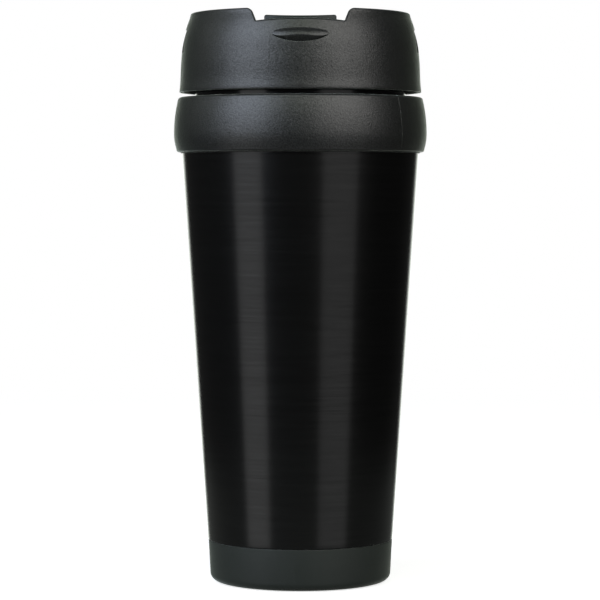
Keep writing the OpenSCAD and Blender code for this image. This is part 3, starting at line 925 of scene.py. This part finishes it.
def slider_leg(side):
    """One of the two legs that reach down through the deck to the gate."""
    x = side * LEG_X
    outline = rounded_box((x - LEG_W / 2, x + LEG_W / 2), (LEG_Y, LEG_Y + LEG_L), 0.3 * MM)
    return prism("leg", outline, low("thumb_slider").z, slide_z + 0.5 * MM)


def thumb_slider(material):
    """Slider plate with its thumb ridge, grip bars and legs."""
    slider = prism("slide_tab", slider_outline(), slide_z, slide_z + 2 * MM)
    combine(slider, thumb_ridge(), "UNION")
    for i in range(5):
        combine(slider, grip_bar(i), "UNION")
    for side in (-1, 1):
        combine(slider, slider_leg(side), "UNION")
    shade(slider, 30)
    soften(slider, 0.22 * MM, 3)
    return place(slider, "slider", "slider_plastic", material, "thumb_slider")


def dress_node(node, material):
    """A CAD node whose shape is right keeps it and gets its material."""
    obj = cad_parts[node]
    obj.data.materials.clear()
    obj.data.materials.append(material)


# ---------------------------------------------------------------- stage

def floor():
    """A wide floor, which the object neither mirrors nor takes light from."""
    half = 3
    verts = [(-half, -half, 0), (half, -half, 0), (half, half, 0), (-half, half, 0)]
    obj = mesh_object("floor", verts, [(0, 1, 2, 3)])
    obj.location.z = foot_z
    obj.data.materials.append(pale_floor(0.9))
    obj.visible_glossy = False
    obj.visible_shadow = False
    obj.visible_diffuse = False


def area_light(name, width, height, colour):
    """A soft light that shines along its own -Z and that the camera doesn't see. Colour is its radiance."""
    data = bpy.data.lights.new(name, "AREA")
    data.shape = "RECTANGLE"
    data.size, data.size_y = width, height
    peak = max(colour)
    data.color = [c / peak for c in colour]
    data.energy = peak * width * height * math.pi
    obj = bpy.data.objects.new(name, data)
    obj.visible_camera = False
    bpy.context.scene.collection.objects.link(obj)
    return obj


def softbox(name, azimuth, spread, z0, z1, colour):
    """An upright panel, spread degrees wide, at an azimuth from the front, positive towards +X."""
    distance, a = 1.3, math.radians(azimuth)
    obj = area_light(name, 2 * distance * math.tan(math.radians(spread / 2)), z1 - z0, colour)
    obj.location = (distance * math.sin(a), -distance * math.cos(a), (z0 + z1) / 2)
    obj.rotation_euler = (math.pi / 2, 0, a)


def floor_bounce():
    """Soft light that the pale floor sends up the foot of the tumbler."""
    area_light("floor_bounce", 0.45, 0.45, FLOOR_BOUNCE).rotation_euler = (math.pi, 0, 0)


def room_light(tree):
    """Light by direction: a dim room, with a pale wall behind and a dark panel on the right."""
    direction = tree.nodes.new("ShaderNodeTexCoord")
    split = tree.nodes.new("ShaderNodeSeparateXYZ")
    tree.links.new(direction.outputs["Generated"], split.inputs[0])
    ramp = tree.nodes.new("ShaderNodeValToRGB")
    for stop, position, colour in zip(ramp.color_ramp.elements, (0.915, 0.98), (ROOM, BACK_WALL)):
        stop.position = position
        stop.color = colour
    tree.links.new(split.outputs["Y"], ramp.inputs["Fac"])
    panel = tree.nodes.new("ShaderNodeMapRange")
    for key, number in (("From Min", 0.45), ("From Max", 0.9), ("To Min", 1.0), ("To Max", 0.4)):
        panel.inputs[key].default_value = number
    tree.links.new(split.outputs["X"], panel.inputs["Value"])
    dimmed = tree.nodes.new("ShaderNodeVectorMath")
    dimmed.operation = "SCALE"
    tree.links.new(ramp.outputs["Color"], dimmed.inputs[0])
    tree.links.new(panel.outputs["Result"], dimmed.inputs["Scale"])
    return dimmed.outputs[0]


def surroundings():
    """White for the camera, and the room's light for everything else."""
    world = bpy.data.worlds.new("room")
    bpy.context.scene.world = world
    world.use_nodes = True
    tree = world.node_tree
    background = tree.nodes["Background"]
    tree.links.new(room_light(tree), background.inputs["Color"])
    white = tree.nodes.new("ShaderNodeBackground")
    white.inputs["Color"].default_value = (1, 1, 1, 1)
    path = tree.nodes.new("ShaderNodeLightPath")
    mix = tree.nodes.new("ShaderNodeMixShader")
    tree.links.new(path.outputs["Is Camera Ray"], mix.inputs[0])
    tree.links.new(background.outputs[0], mix.inputs[1])
    tree.links.new(white.outputs[0], mix.inputs[2])
    tree.links.new(mix.outputs[0], tree.nodes["World Output"].inputs["Surface"])


def camera():
    """A little above the middle and far off, as a product is photographed."""
    data = bpy.data.cameras.new("camera")
    obj = bpy.data.objects.new("camera", data)
    aside, distance, eye_z, down = -0.00013, 0.9409, 0.1373, math.radians(2.309)
    data.sensor_width = 36
    data.lens = 159.85
    obj.location = (aside, -distance, eye_z)
    obj.rotation_euler = (math.pi / 2 - down, 0, 0)
    bpy.context.scene.collection.objects.link(obj)
    bpy.context.scene.camera = obj


# ---------------------------------------------------------------- the whole

grip = moulded_plastic("grip_texture", BLACK, BLACK_PALE, BLACK_WORN)
lid_skin = moulded_plastic("lid_texture", BLACK, BLACK_PALE, BLACK_WORN)
base_skin = smooth_plastic("base_satin", (0.012, 0.016, 0.014), (0.017, 0.022, 0.019), (0.5, 0.64),
                           Sheen_Weight=0.6, Sheen_Roughness=0.35, Sheen_Tint=(0.92, 1.0, 0.92, 1))
core_skin = smooth_plastic("core_satin", (0.010, 0.0105, 0.0105), (0.015, 0.0155, 0.0155))
slide_skin = smooth_plastic("slide_satin", (0.008, 0.013, 0.011), (0.012, 0.018, 0.015), (0.34, 0.46),
                            Specular_IOR_Level=0.35)
seal_skin = silicone()
dark_seal = rubber("dark_seal", (0.02, 0.02, 0.02), (0.035, 0.035, 0.035))

outer_shell(brushed_black())
inner_liner(gloss_black())
grip_collar(grip)
base_cup(base_skin)
foot_pad(rubber("foot_rubber", (0.014, 0.014, 0.014), (0.026, 0.026, 0.026)))
lid_shell(lid_skin)
lid_core(core_skin)
# The clips are the core's plastic. Their near-black, glossless colour is painted shade for the dark side
# windows.
clips(rubber("clip_painted_shade", (0.002, 0.002, 0.002), (0.004, 0.004, 0.004), 0.0))
thumb_slider(slide_skin)
for node, material, slot_name in (
        ("collar_seal", dark_seal, "seal_dark"), ("base_seal", dark_seal, "seal_dark"),
        ("liner_pad", rubber("cushion", (0.22, 0.22, 0.22), (0.3, 0.3, 0.3)), "cushion_foam"),
        ("lid_gasket", seal_skin, "seal_silicone"), ("slider_gate", core_skin, "core_plastic"),
        ("gate_seal", seal_skin, "seal_silicone"), ("vent_seal", seal_skin, "seal_silicone")):
    dress_node(node, material)

floor()
for box in SOFTBOXES:
    softbox(*box)
surroundings()
floor_bounce()
camera()
bpy.context.scene.view_settings.view_transform = "Standard"
